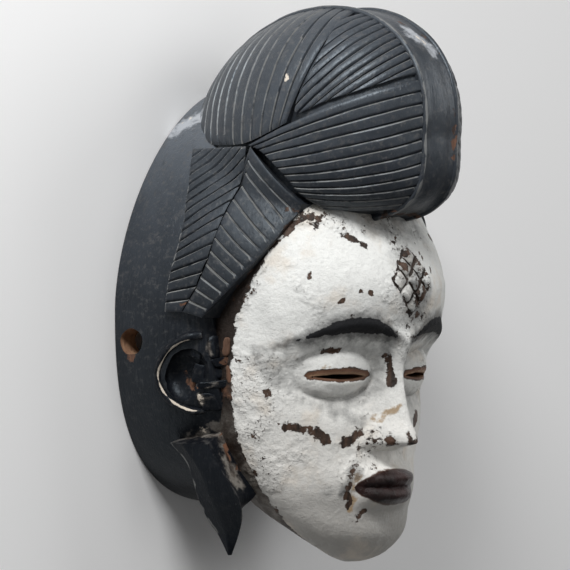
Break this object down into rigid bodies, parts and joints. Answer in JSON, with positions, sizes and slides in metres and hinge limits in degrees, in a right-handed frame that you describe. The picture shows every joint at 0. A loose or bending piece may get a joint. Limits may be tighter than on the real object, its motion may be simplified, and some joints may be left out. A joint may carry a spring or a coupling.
{
  "type": "carved wooden face mask",
  "caption": "Hollow wooden okuyi face mask with a pale face, a combed three-part headdress, herringbone tresses and pierced rims.",
  "frame": {"origin": "middle of the mask's outline in the plane of its rear rim", "axes": "+Z out of the face, +Y from chin to headdress, +X to the mask's own left"},
  "size_m": [0.1874, 0.2995, 0.1502],
  "materials": {
    "carved_wood": "worn satin black on hair and collar, chalky white on the face, bare wood inside"
  },
  "bodies": {
    "root": {"mask": "carved_wood"}
  },
  "joints": []
}
